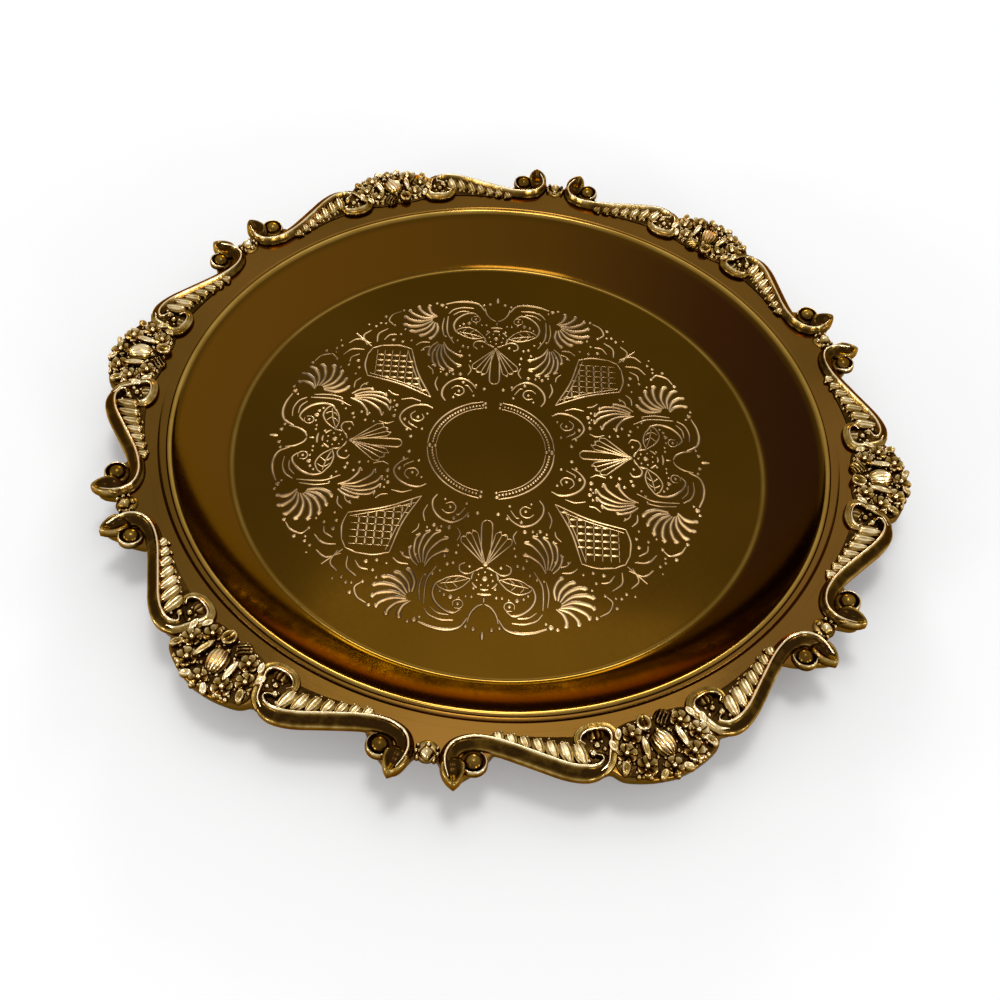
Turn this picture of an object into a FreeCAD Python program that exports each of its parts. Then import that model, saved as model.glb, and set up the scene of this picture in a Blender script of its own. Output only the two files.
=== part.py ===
"""Round gilt candle plate: a spun dish with a cast six-lobed border soldered to its flange.

All lengths are in millimetres. The origin is at the centre of the flat underside, +Z is up,
and the first lobe of the border points along +X. Each lobe carries one flower cluster on its
axis, a mirrored pair of leaf garlands and a mirrored pair of scrolls. Where two lobes meet,
at a junction, a small rosette covers the joint between their border sections.
"""
import FreeCAD, Part
import math
import os

# Layout of the border
lobes = 6
lobe_angle = 360 / lobes
half_lobe = lobe_angle / 2

# Dish, spun from sheet
sheet = 1.2
well_radius = 80.2
wall_run = 14.9
wall_rise = 13.2
wall_sag = 0.9
bead_width = 1.8
bead_height = 0.7
groove_width = 2.1
groove_depth = 0.5
flange_lift = 0.6
flange_width = 2.3
seat_depth = 2.6
seat_width = 4.2

# Border sections, cast plates lying on the flange's seat
border_width = 17.75
plate_thickness = 2.6
seat_clearance = 0.15
solder_gap = 0.1

# Scrolls
scroll_width = 4.2
scroll_height = 2.6
scroll_crown = 1.6
scroll_tip_width = 3.4
scroll_curl_width = 2.1
scroll_curl_height = 2.0
tip_end_share = 0.12
curl_start_share = 0.74
scroll_sections = 34
tip_knob_radius = 1.95
tip_knob_height = 2.75
curl_knob_radius = 1.35
curl_knob_height = 2.2
knob_crown_share = 0.75
horn_length = 8.4
horn_width = 5.0
horn_height = 2.4
horn_lean = 9.0
eye_radius = 2.4
eye_lift = 0.4
volute_pad_radius = 3.3

# Thin pads that hold the small ornaments together
pad_thickness = 0.8
ornament_clearance = 0.25

# Garlands
leaf_count = 6
leaf_width = 2.5
leaf_height = 1.5
leaf_lean = 14.0
leaf_width_share = 0.62
garland_pad_inset = 0.5
garland_pad_steps = 8
bloom_length = 5.0
bloom_width = 4.2
bloom_height = 1.9
garland_bead_radius = 1.15

# Flower clusters
crest_length = 6.4
crest_width = 5.6
crest_height = 2.2
side_crest_length = 7.6
side_crest_width = 6.0
side_crest_height = 2.3
side_crest_lean = 30.0
shell_length = 7.6
shell_width = 6.2
shell_height = 2.9
shell_lean = 18.0
cheek_length = 7.0
cheek_width = 4.2
cheek_height = 2.3
cheek_lean = 14.0
foot_petal_length = 5.6
foot_petal_width = 4.2
foot_petal_height = 2.0
cluster_bead_radius = 1.15

# Junction rosettes
boss_radius = 1.5
boss_height = 2.4
rosette_bead_radius = 0.75
rosette_bead_height = 1.6

# Centre line of a scroll, from its tip beside the junction to its curl beside the flowers:
# the angle from the junction over half a lobe, and the radius over the border's width.
scroll_line_shares = [
    (0.113, 0.735),
    (0.096, 0.575),
    (0.093, 0.415),
    (0.117, 0.270),
    (0.173, 0.188),
    (0.240, 0.178),
    (0.313, 0.220),
    (0.400, 0.316),
    (0.493, 0.444),
    (0.573, 0.566),
    (0.640, 0.636),
    (0.697, 0.640),
    (0.735, 0.565),
    (0.735, 0.470),
    (0.697, 0.415),
]

# Outer edge of a border section from the junction to the lobe's axis, in the same shares
plate_edge_shares = [
    (0.000, 0.420),
    (0.050, 0.500),
    (0.090, 0.740),
    (0.125, 0.790),
    (0.165, 0.690),
    (0.215, 0.560),
    (0.252, 0.430),
    (0.290, 0.290),
    (0.350, 0.300),
    (0.433, 0.420),
    (0.533, 0.580),
    (0.633, 0.710),
    (0.710, 0.710),
    (0.755, 0.700),
    (0.800, 0.830),
    (0.900, 0.930),
    (1.000, 0.975),
]

# The ball in a scroll's volute, the pad that fills the bend beside it, the horn over the
# scroll's tip, and the stretch that nears the junction
eye_place_shares = (0.197, 0.475)
volute_pad_place_shares = (0.155, 0.400)
horn_place_shares = (0.118, 0.640)
scroll_near_junction_shares = scroll_line_shares[2]

# The stretch of a scroll above the garland
scroll_over_garland_shares = scroll_line_shares[4:11]

# Garland: the first and last leaf's angle, and the inner end of each of them
leaf_angle_shares = (0.345, 0.605)
leaf_foot_shares = (0.045, 0.190)
garland_pad_angle_shares = (0.310, 0.780)
garland_pad_turn_shares = [(0.650, 0.350), (0.780, 0.300)]
garland_pad_top_share = 0.600
bloom_place_shares = (0.722, 0.140)
garland_bead_place_shares = (0.722, 0.285)

# Flower cluster, from the lobe's axis: the angle over half a lobe, the radius over the border
crest_place_shares = (0.0, 0.820)
side_crest_place_shares = (0.130, 0.735)
shell_place_shares = (0.0, 0.490)
cheek_place_shares = (0.125, 0.440)
foot_petal_place_shares = (0.083, 0.135)
cluster_bead_place_shares = [
    (0.068, 0.655),
    (0.190, 0.580),
    (0.190, 0.330),
    (0.072, 0.310),
    (0.170, 0.200),
]
cluster_pad_shares = [
    (0.000, 0.030),
    (0.150, 0.040),
    (0.188, 0.160),
    (0.212, 0.300),
    (0.214, 0.450),
    (0.222, 0.640),
    (0.200, 0.790),
    (0.120, 0.870),
    (0.000, 0.930),
]

# Junction rosette: the boss, and the beads of one side
boss_place_shares = (0.0, 0.400)
rosette_bead_place_shares = [
    (0.036, 0.350),
    (0.040, 0.430),
    (0.024, 0.505),
]

# Heights and radii that follow from the sizes above
floor_top = sheet
bead_top = floor_top + wall_rise
flange_top = bead_top + flange_lift
seat_top = flange_top - seat_depth
plate_top = seat_top + plate_thickness
bead_inner_radius = well_radius + wall_run
bead_outer_radius = bead_inner_radius + bead_width
groove_outer_radius = bead_outer_radius + groove_width
seat_radius = groove_outer_radius + flange_width
flange_outer_radius = seat_radius + seat_width
plate_inner_radius = seat_radius + seat_clearance

up = FreeCAD.Vector(0, 0, 1)
centre = FreeCAD.Vector(0, 0, 0)


def point(radius, degrees, height=0):
    """A point at a radius and an angle from the lobe's axis."""
    turn = math.radians(degrees)
    return FreeCAD.Vector(radius * math.cos(turn), radius * math.sin(turn), height)


def border_radius(share):
    """The radius at a share of the border's width, from its inner edge."""
    return plate_inner_radius + share * border_width


def from_junction(place, height):
    """The point of a pair of shares whose angle is counted from the junction."""
    return point(border_radius(place[1]), half_lobe * (1 - place[0]), height)


def from_axis(place, height, side=1):
    """The point of a pair of shares whose angle is counted from the lobe's axis."""
    return point(border_radius(place[1]), side * half_lobe * place[0], height)


def smooth_line(points):
    """A curve through the given points."""
    curve = Part.BSplineCurve()
    curve.interpolate(points)
    return curve


def extruded(edges, height):
    """The solid over a flat outline."""
    return Part.Face(Part.Wire(edges)).extrude(up * height)


def fused(solids):
    """One solid made of several that overlap."""
    joined = solids[0].fuse(solids[1:]).removeSplitter()
    return joined.Solids[0] if len(joined.Solids) == 1 else joined


def dome(place, radius, height, crown):
    """An upright post with a round top, the shape of a cast bead."""
    side = height - crown
    middle = FreeCAD.Vector(place.x, place.y, plate_top)
    ball = (radius * radius + crown * crown) / (2 * crown)
    part_way = radius / 2
    rise = math.sqrt(ball * ball - part_way * part_way) - ball + crown
    foot = middle + FreeCAD.Vector(radius, 0, 0)
    shoulder = foot + up * side
    haunch = middle + FreeCAD.Vector(part_way, 0, side + rise)
    top = middle + up * height
    edges = [Part.makeLine(middle, foot)]
    if side > 0:
        edges.append(Part.makeLine(foot, shoulder))
    edges.append(Part.Arc(shoulder, haunch, top).toShape())
    edges.append(Part.makeLine(top, middle))
    return Part.Face(Part.Wire(edges)).revolve(middle, up, 360)


def disc(place, radius, height):
    """A round pad on the border."""
    return Part.makeCylinder(radius, height, FreeCAD.Vector(place.x, place.y, plate_top), up)


def petal(place, length, width, height, degrees):
    """Half an ellipsoid lying on the border, its long axis turned by degrees from +X."""
    along = point(length / 2, degrees)
    across = point(width / 2, degrees + 90)
    edge = Part.Ellipse(along, across, centre).toShape(0, math.pi)
    base = Part.makeLine(along * -1, along)
    round_petal = Part.Face(Part.Wire([edge, base])).revolve(centre, along, 180)
    flatten = FreeCAD.Matrix()
    flatten.scale(1, 1, 2 * height / width)
    flat_petal = round_petal.transformGeometry(flatten)
    flat_petal.translate(FreeCAD.Vector(place.x, place.y, plate_top))
    return flat_petal


def one_lobe(shape, lobe):
    """A copy of a shape turned from the first lobe to another."""
    copy = shape.copy()
    copy.rotate(centre, up, lobe * lobe_angle)
    return copy


def mirrored(shape):
    """The other side's copy of a shape that lies beside the lobe's axis."""
    return shape.mirror(centre, FreeCAD.Vector(0, 1, 0))


def dish_face_edges(drop):
    """The dish's upper profile from the axis to the rim, lowered by drop."""
    def at(radius, height):
        return FreeCAD.Vector(radius, 0, height - drop)
    wall_foot = at(well_radius, floor_top)
    wall_head = at(bead_inner_radius, bead_top - bead_height)
    chord = wall_head - wall_foot
    outward = FreeCAD.Vector(chord.z, 0, -chord.x).normalize()
    wall_middle = (wall_foot + wall_head) / 2 + outward * wall_sag
    bead_crown = at((bead_inner_radius + bead_outer_radius) / 2, bead_top)
    bead_end = at(bead_outer_radius, bead_top - bead_height)
    groove_end = at(groove_outer_radius, flange_top)
    groove_middle = (bead_end + groove_end) / 2 - up * groove_depth
    step_radius = seat_radius - drop
    flange_end = at(step_radius, flange_top)
    seat_start = at(step_radius, seat_top)
    seat_end = at(flange_outer_radius, seat_top)
    return [
        Part.makeLine(at(0, floor_top), wall_foot),
        Part.Arc(wall_foot, wall_middle, wall_head).toShape(),
        Part.Arc(wall_head, bead_crown, bead_end).toShape(),
        Part.Arc(bead_end, groove_middle, groove_end).toShape(),
        Part.makeLine(groove_end, flange_end),
        Part.makeLine(flange_end, seat_start),
        Part.makeLine(seat_start, seat_end),
    ]


def dish():
    """Floor, sloping wall, bead, groove and flange, one sheet thick all over."""
    upper = dish_face_edges(0)
    lower = dish_face_edges(sheet)
    rim = Part.makeLine(upper[-1].Vertexes[-1].Point, lower[-1].Vertexes[-1].Point)
    axis = Part.makeLine(centre, up * sheet)
    profile = Part.Face(Part.Wire(Part.__sortEdges__(upper + lower + [rim, axis])))
    return profile.revolve(centre, up, 360)


def border_section():
    """A flat casting under one lobe's ornament, from junction to junction."""
    reach = 1 - math.degrees(solder_gap / plate_inner_radius) / lobe_angle
    shares = [((1 - angle) * reach, radius) for angle, radius in plate_edge_shares]
    one_side = [from_axis(place, seat_top) for place in shares]
    other_side = [from_axis(place, seat_top, -1) for place in shares[-2::-1]]
    outer = smooth_line(one_side + other_side).toShape()
    inner_start = point(plate_inner_radius, half_lobe * reach, seat_top)
    inner_end = point(plate_inner_radius, -half_lobe * reach, seat_top)
    inner_middle = point(plate_inner_radius, 0, seat_top)
    edges = [
        outer,
        Part.makeLine(other_side[-1], inner_end),
        Part.Arc(inner_end, inner_middle, inner_start).toShape(),
        Part.makeLine(inner_start, one_side[0]),
    ]
    return extruded(edges, plate_thickness)


def scroll_section(place, direction, width, height, crown):
    """A round-topped outline across the scroll."""
    across = direction.cross(up).normalize() * (width / 2)
    left = place - across
    right = place + across
    side = up * (height - crown)
    return Part.Wire([
        Part.makeLine(left, right),
        Part.makeLine(right, right + side),
        Part.Arc(right + side, place + up * height, left + side).toShape(),
        Part.makeLine(left + side, left),
    ])


def scroll_taper(share):
    """Width and height of the scroll at a share of its length from the tip."""
    tip = max(0, 1 - share / tip_end_share)
    curl = max(0, (share - curl_start_share) / (1 - curl_start_share))
    width = scroll_width - tip * (scroll_width - scroll_tip_width)
    width = width - curl * (scroll_width - scroll_curl_width)
    height = scroll_height - curl * (scroll_height - scroll_curl_height)
    return width, height


def scroll():
    """An S-shaped bar with a knob at each end, a horn over its tip and a ball in its volute."""
    points = [from_junction(place, plate_top) for place in scroll_line_shares]
    line = smooth_line(points)
    wires = []
    for step in range(scroll_sections):
        share = step / (scroll_sections - 1)
        at = line.FirstParameter + share * (line.LastParameter - line.FirstParameter)
        width, height = scroll_taper(share)
        crown = scroll_crown * width / scroll_width
        wires.append(scroll_section(line.value(at), line.tangent(at)[0], width, height, crown))
    bar = Part.makeLoft(wires, True, False)
    tip_crown = knob_crown_share * tip_knob_radius
    curl_crown = knob_crown_share * curl_knob_radius
    eye_place = from_junction(eye_place_shares, plate_top + eye_lift)
    eye = Part.makeSphere(eye_radius, eye_place)
    below = Part.makeCylinder(2 * eye_radius, eye_radius, eye_place - up * (eye_lift + eye_radius), up)
    horn_angle = half_lobe * (1 - horn_place_shares[0]) - horn_lean
    return fused([
        bar,
        petal(from_junction(horn_place_shares, 0), horn_length, horn_width, horn_height, horn_angle),
        dome(points[0], tip_knob_radius, tip_knob_height, tip_crown),
        dome(points[-1], curl_knob_radius, curl_knob_height, curl_crown),
        disc(from_junction(volute_pad_place_shares, plate_top), volute_pad_radius, pad_thickness),
        eye.cut(below),
    ])


def scroll_inner_radius(angle_share):
    """The radius at which the scroll's inner side begins, clearance taken off."""
    line = scroll_over_garland_shares
    for first, second in zip(line, line[1:]):
        if angle_share <= second[0]:
            break
    blend = (angle_share - first[0]) / (second[0] - first[0])
    radius = border_radius(first[1] + blend * (second[1] - first[1]))
    run = math.radians((second[0] - first[0]) * half_lobe) * radius
    climb = (second[1] - first[1]) * border_width
    slant = math.hypot(1, climb / run)
    return radius - (scroll_width / 2 + ornament_clearance) * slant


def garland():
    """Leaves that grow towards the flowers, a bloom at their end and the pad under them."""
    solids = []
    first, last = leaf_angle_shares
    for leaf in range(leaf_count):
        share = leaf / (leaf_count - 1)
        angle_share = first + share * (last - first)
        foot_share = leaf_foot_shares[0] + share * (leaf_foot_shares[1] - leaf_foot_shares[0])
        foot = border_radius(foot_share)
        head = scroll_inner_radius(angle_share)
        degrees = half_lobe * (1 - angle_share)
        place = point((foot + head) / 2, degrees)
        length = head - foot
        width = min(leaf_width, leaf_width_share * length)
        solids.append(petal(place, length, width, leaf_height, degrees + leaf_lean))
    bloom_angle = half_lobe * (1 - bloom_place_shares[0]) + 90
    bloom_place = from_junction(bloom_place_shares, 0)
    solids.append(petal(bloom_place, bloom_length, bloom_width, bloom_height, bloom_angle))
    bead = from_junction(garland_bead_place_shares, 0)
    solids.append(dome(bead, garland_bead_radius, 2 * garland_bead_radius, garland_bead_radius))
    return fused([garland_pad()] + solids)


def garland_pad():
    """A thin crescent between the border's inner edge and the scroll."""
    start, end = garland_pad_angle_shares
    inner_radius = plate_inner_radius + garland_pad_inset
    pitch = (garland_pad_top_share - start) / garland_pad_steps
    outer = []
    for step in range(garland_pad_steps + 1):
        share = start + step * pitch
        radius = scroll_inner_radius(share) - ornament_clearance
        outer.append(point(radius, half_lobe * (1 - share), plate_top))
    turns = [from_junction(place, plate_top) for place in garland_pad_turn_shares]
    inner_end = point(inner_radius, half_lobe * (1 - end), plate_top)
    inner_start = point(inner_radius, half_lobe * (1 - start), plate_top)
    inner_middle = point(inner_radius, half_lobe * (1 - (start + end) / 2), plate_top)
    edges = [
        smooth_line(outer).toShape(),
        Part.makeLine(outer[-1], turns[0]),
        Part.makeLine(turns[0], turns[1]),
        Part.makeLine(turns[1], inner_end),
        Part.Arc(inner_end, inner_middle, inner_start).toShape(),
        Part.makeLine(inner_start, outer[0]),
    ]
    return extruded(edges, pad_thickness)


def flower_cluster():
    """Shell, petals, beads and crests on the lobe's axis, and the pad under them."""
    one_side = [from_axis(place, plate_top) for place in cluster_pad_shares]
    other_side = [from_axis(place, plate_top, -1) for place in cluster_pad_shares[-2:0:-1]]
    outline = Part.BSplineCurve()
    outline.interpolate(one_side + other_side, PeriodicFlag=True)
    solids = [
        extruded([outline.toShape()], pad_thickness),
        petal(from_axis(crest_place_shares, 0), crest_length, crest_width, crest_height, 0),
        petal(from_axis(shell_place_shares, 0), shell_length, shell_width, shell_height, shell_lean),
    ]
    for side in (1, -1):
        solids.append(petal(from_axis(side_crest_place_shares, 0, side), side_crest_length,
                            side_crest_width, side_crest_height, side * side_crest_lean))
        solids.append(petal(from_axis(cheek_place_shares, 0, side), cheek_length,
                            cheek_width, cheek_height, -side * cheek_lean))
        foot_angle = side * half_lobe * foot_petal_place_shares[0] + 90
        solids.append(petal(from_axis(foot_petal_place_shares, 0, side), foot_petal_length,
                            foot_petal_width, foot_petal_height, foot_angle))
        for place in cluster_bead_place_shares:
            solids.append(dome(from_axis(place, 0, side), cluster_bead_radius,
                               2 * cluster_bead_radius, cluster_bead_radius))
    return fused(solids)


def junction_rosette():
    """A boss between beads on a round pad, on the joint at the end of the first lobe."""
    middle = from_junction(boss_place_shares, 0)
    aside = math.radians(half_lobe * scroll_near_junction_shares[0])
    room = border_radius(scroll_near_junction_shares[1]) * math.sin(aside) - scroll_width / 2
    solids = [
        disc(middle, room - ornament_clearance, pad_thickness),
        dome(middle, boss_radius, boss_height, boss_radius),
    ]
    for place in rosette_bead_place_shares:
        for side in (1, -1):
            bead = from_junction((side * place[0], place[1]), 0)
            solids.append(dome(bead, rosette_bead_radius, rosette_bead_height, rosette_bead_radius))
    return fused(solids)


def write(name, shape):
    """One file for one piece."""
    shape.exportStep("parts/" + name + ".step")
    print(name, "solids", len(shape.Solids), "valid", shape.isValid(), "volume", round(shape.Volume, 1))


def main():
    os.makedirs("parts", exist_ok=True)
    write("dish", dish())
    scroll_shape = scroll()
    garland_shape = garland()
    pieces = {
        "border_section": border_section(),
        "flower_cluster": flower_cluster(),
        "junction_rosette": junction_rosette(),
        "scroll_left": scroll_shape,
        "scroll_right": mirrored(scroll_shape),
        "garland_left": garland_shape,
        "garland_right": mirrored(garland_shape),
    }
    for name, shape in pieces.items():
        for lobe in range(lobes):
            write(name + "_" + str(lobe + 1), one_lobe(shape, lobe))


main()
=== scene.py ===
"""The gilt candle plate: a spun dish with a chased centre and a cast border of six lobes.

Shapes are worked out in millimetres, in the plate's own frame, and written to meshes in metres.
The first lobe points along +X. Each form is a closed shell made of rings of points.
"""
import math

import bpy
import numpy as np
from mathutils import Matrix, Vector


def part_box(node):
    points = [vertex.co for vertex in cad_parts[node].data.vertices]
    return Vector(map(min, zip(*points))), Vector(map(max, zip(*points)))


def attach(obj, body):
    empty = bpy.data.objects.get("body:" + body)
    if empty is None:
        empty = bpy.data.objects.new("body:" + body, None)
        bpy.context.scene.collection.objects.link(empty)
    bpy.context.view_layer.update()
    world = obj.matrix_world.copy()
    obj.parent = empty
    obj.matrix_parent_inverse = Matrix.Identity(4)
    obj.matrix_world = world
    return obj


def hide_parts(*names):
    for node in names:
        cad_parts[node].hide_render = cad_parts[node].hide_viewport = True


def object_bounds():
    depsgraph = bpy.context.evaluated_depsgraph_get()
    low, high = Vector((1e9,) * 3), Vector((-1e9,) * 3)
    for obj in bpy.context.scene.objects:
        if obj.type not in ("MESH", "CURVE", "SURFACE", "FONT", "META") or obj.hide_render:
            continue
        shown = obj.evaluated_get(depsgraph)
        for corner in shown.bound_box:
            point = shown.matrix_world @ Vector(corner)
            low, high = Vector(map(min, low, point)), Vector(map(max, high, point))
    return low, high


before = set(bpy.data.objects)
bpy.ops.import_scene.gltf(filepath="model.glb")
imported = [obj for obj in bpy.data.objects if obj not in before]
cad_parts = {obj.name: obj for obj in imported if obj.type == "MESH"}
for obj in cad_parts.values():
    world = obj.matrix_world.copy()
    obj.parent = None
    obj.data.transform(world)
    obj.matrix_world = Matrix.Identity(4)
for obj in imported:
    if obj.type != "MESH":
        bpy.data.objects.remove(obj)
cad_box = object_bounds()

mm = 0.001
lobes = 6
half_lobe = 180.0 / lobes
crease_degrees = 38

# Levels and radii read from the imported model
dish_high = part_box("dish")[1]
section_low, section_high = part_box("border_section_1")
flange_radius = dish_high.x / mm
flange_top = dish_high.z / mm
plate_top = section_high.z / mm
plate_foot = section_low.z / mm
border_reach = cad_box[1].x / mm

# Dish
sheet = 1.2
seat_width = 4.2
flange_width = 2.3
groove_width = 2.1
groove_depth = 0.5
bead_width = 1.8
bead_height = 0.7
flange_lift = 0.6
wall_run = 14.9
wall_sag = 0.9
foot_fillet = 1.5
rim_round = 0.3
step_break = (0.02, 0.03)
foot_chamfer = [(0.9, 0.3), (0.4, 0.0)]
floor_margin = 2.0
underside_lift = 0.35
pole_radius = 0.4
seat_radius = flange_radius - seat_width
groove_radius = seat_radius - flange_width
bead_radius = groove_radius - groove_width
wall_radius = bead_radius - bead_width
well_radius = wall_radius - wall_run
bead_top = flange_top - flange_lift
dish_turns = 720

# Border, measured from the seat's clearance outwards
seat_clearance = 0.15
border_inner = seat_radius + seat_clearance
border_width = border_reach - border_inner
edge_round = 0.8
toe_lift = 0.02
foot_bevel = 0.5
edge_bevel = 0.3
section_columns = 241

# Cast forms: how deep beads, leaves and pads reach into what carries them, and the pads' thickness
bead_sink = 0.4
leaf_sink = 0.35
pad_sink = 0.3
pad_height = 0.45
pad_round = 0.3

# Scrolls
scroll_width = 4.5
scroll_height = 2.6
scroll_tip_width = 3.2
scroll_curl_width = 1.6
scroll_stations = 150
hood_width = 2.7
hood_height = 2.3
eye_radius = 2.35
eye_lift = 0.35
volute_ring_radius = 3.05
volute_ring_thickness = 0.9
volute_ring_height = 1.7
volute_ring_lift = 0.2
volute_ring_sweep = (95, -150)
collar_width = 0.35
collar_height = 0.7
knob_radius = 1.1
knob_height = 2.1
horn_length = 8.6
horn_width = 6.2
horn_height = 2.6
horn_lean = 9.0

# Garlands: a leaf's sizes and its bead's are those at the first leaf, and gains are by the last
garland_leaves = 7
leaf_overrun = 0.6
leaf_width, leaf_width_gain = 3.0, 0.6
leaf_height, leaf_height_gain = 1.45, 0.4
tip_bead_radius, tip_bead_gain = 0.48, 0.12
tip_bead_height = 1.0
tip_bead_gap = 1.35
bud_size = (3.0, 4.4, 1.5)
garland_span_shares = (0.295, 0.640)
leaf_foot_share, leaf_foot_gain_share = 0.025, 0.215
leaf_lean_shares = (-0.010, 0.012)
leaf_head_gap_share = 0.045
pad_span_shares = (0.27, 0.80)
pad_level_from_share, pad_level_share = 0.64, 0.60

# Flower clusters and rosettes
oval_shell_size = (7.6, 6.4, 3.0)
oval_shell_turn = 16
crown_radius, crown_petals, crown_height = 2.7, 6, 2.2
foot_petal_size = (4.6, 4.0, 2.0)
foot_bud_size = (4.8, 4.8, 2.1)
foot_lean = 8
small_bead_radius, small_bead_height = 0.55, 1.15
boss_radius, boss_height = 1.75, 2.2
toe_bead_radius, toe_bead_height = 0.85, 1.5
boss_pad_radius, boss_pad_height = 3.0, 0.55
side_bead_height = 1.45

# Chased centre
chasing_offset = (-2.7, -1.6)
chasing_turn = 7.9
chasing_relief = 0.15
chasing_sink = 0.03
station_gap = 0.55
widest_stroke = 1.4

# Centre line of a scroll: the angle from the junction over half a lobe, and the radius over the border
scroll_line_shares = [
    (0.113, 0.735), (0.096, 0.575), (0.093, 0.415), (0.117, 0.270), (0.173, 0.188),
    (0.240, 0.178), (0.313, 0.220), (0.400, 0.316), (0.493, 0.444), (0.573, 0.566),
    (0.640, 0.636), (0.697, 0.640), (0.735, 0.565), (0.735, 0.470), (0.697, 0.415),
]

# Outer edge of a border section, from the junction to the lobe's axis
plate_edge_shares = [
    (0.000, 0.420), (0.050, 0.500), (0.090, 0.740), (0.125, 0.790), (0.165, 0.690),
    (0.215, 0.560), (0.252, 0.430), (0.290, 0.290), (0.350, 0.300), (0.433, 0.420),
    (0.533, 0.580), (0.633, 0.710), (0.710, 0.710), (0.755, 0.700), (0.800, 0.830),
    (0.900, 0.930), (1.000, 0.975),
]

# Section of a scroll from its inner toe over the ridge and down its outer face: the place across
# over half the width, the height over the scroll's height, and the tone share, partly wear and
# partly painted light: a painted highlight along the ridge and painted shade down the outer face
scroll_profile_shares = [
    (-1.00, -0.10, 0.1), (-0.98, 0.18, 0.2), (-0.86, 0.36, 0.25), (-0.70, 0.50, 0.3), (-0.56, 0.76, 0.6),
    (-0.45, 0.96, 1.0), (-0.36, 1.00, 1.2), (-0.25, 0.93, 1.0), (-0.14, 0.72, 0.4), (0.04, 0.58, 0.15),
    (0.30, 0.50, 0.1), (0.56, 0.42, 0.1), (0.76, 0.34, 0.3), (0.92, 0.22, 0.75), (1.00, 0.02, 0.5),
    (0.98, -0.45, 0.1),
]

# The band that leaves a scroll's shoulder and curls round the hollow at the garland's end
hood_line_shares = [
    (0.716, 0.690), (0.757, 0.600), (0.780, 0.450), (0.799, 0.300), (0.808, 0.180), (0.790, 0.080),
    (0.745, 0.035), (0.692, 0.045), (0.655, 0.115), (0.645, 0.215), (0.668, 0.285),
]
hood_profile_shares = [
    (-1, -0.2), (-0.97, 0.3), (-0.8, 0.62), (-0.5, 0.62), (-0.1, 0.60), (0.25, 0.75), (0.5, 1.0),
    (0.72, 0.92), (0.92, 0.5), (1, -0.2),
]
volute_ring_profile_shares = [
    (-1, -0.2), (-0.9, 0.5), (-0.45, 0.95), (0, 1.0), (0.5, 0.85), (0.95, 0.3), (1, -0.2),
]
eye_place_shares = (0.197, 0.475)
horn_place_shares = (0.118, 0.640)
bud_place_shares = (0.728, 0.150)

# Beads beside a garland's bud: the place, and the radius
garland_beads = [
    ((0.722, 0.300), 1.0), ((0.752, 0.370), 0.75), ((0.690, 0.385), 0.8), ((0.748, 0.255), 0.6),
    ((0.640, 0.345), 0.75), ((0.672, 0.505), 0.75), ((0.610, 0.300), 0.6), ((0.575, 0.190), 0.55),
    ((0.520, 0.120), 0.5), ((0.704, 0.225), 0.55),
]

# The foot of a garland's pad: angle shares, and the radius share at each
pad_foot_shares = [(0.27, 0.040), (0.34, 0.035), (0.60, 0.100), (0.66, 0.110), (0.74, 0.045), (0.80, 0.100)]

# Flowers of a cluster on one side of its axis: the place, the radius, how many petals, the height
cluster_flowers = [
    ((0.104, 0.745), 3.0, 6, 2.5),
    ((0.166, 0.505), 2.9, 7, 2.4),
    ((0.116, 0.265), 2.8, 6, 2.3),
]

# Petals on one side: the place, length, width, height, turn in degrees, hollow and shade
cluster_petals = [
    ((0.083, 0.505), 6.6, 1.9, 2.3, 8, 0.35, 0.0),
    ((0.190, 0.705), 3.8, 2.2, 1.9, 30, 0.5, 0.3),
    ((0.212, 0.365), 3.6, 2.0, 1.8, -10, 0.4, 0.0),
    ((0.176, 0.215), 3.4, 1.9, 1.7, 26, 0.4, 0.0),
    ((0.052, 0.915), 3.2, 2.0, 1.7, 50, 0.4, 0.0),
]

# Larger beads, on both sides where the angle isn't 0: the place, and the radius
cluster_beads = [
    (0.046, 0.655, 0.7), (0.000, 0.300, 0.85), (0.048, 0.330, 0.7), (0.150, 0.660, 0.6), (0.152, 0.370, 0.6),
    (0.206, 0.600, 0.7), (0.104, 0.900, 0.7), (0.150, 0.850, 0.7), (0.000, 0.985, 0.65), (0.106, 0.110, 0.6),
    (0.140, 0.145, 0.6),
]
cluster_head_shares = [
    (-0.205, 0.33), (-0.222, 0.60), (-0.205, 0.78), (-0.110, 0.88), (0, 0.95),
    (0.110, 0.88), (0.205, 0.78), (0.222, 0.60), (0.205, 0.33),
]
cluster_foot_shares = [
    (-0.205, 0.30), (-0.180, 0.12), (-0.100, 0.045), (0, 0.060), (0.100, 0.045), (0.180, 0.12), (0.205, 0.30),
]

# Beads on each side of a rosette: the place, and the radius
rosette_beads = [((0.042, 0.345), 0.62), ((0.046, 0.425), 0.68), ((0.036, 0.515), 0.62)]


def smooth_path(points, count):
    """Points on a smooth line through the given ones: between two of them runs a cubic whose
    slopes at its ends are half the chords over the neighbouring points."""
    points = np.asarray(points, float)
    line = np.vstack([2 * points[0] - points[1], points, 2 * points[-1] - points[-2]])
    at = np.linspace(0, len(points) - 1, count)
    leg = np.minimum(at.astype(int), len(points) - 2)
    t = (at - leg)[:, None]
    a, b, c, d = line[leg], line[leg + 1], line[leg + 2], line[leg + 3]
    bend = (2 * a - 5 * b + 4 * c - d) * t ** 2 + (3 * b - a - 3 * c + d) * t ** 3
    return b + ((c - a) * t + bend) / 2


def leftward(path):
    """At each point of a flat path, the unit vector to its left."""
    direction = np.gradient(path, axis=0)
    direction = direction / np.linalg.norm(direction, axis=1)[:, None]
    return np.stack([-direction[:, 1], direction[:, 0]], axis=1)


def polar(radius, degrees):
    """Plan position at a radius and an angle from +X."""
    turn = np.radians(degrees)
    return np.stack([radius * np.cos(turn), radius * np.sin(turn)], axis=-1)


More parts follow.
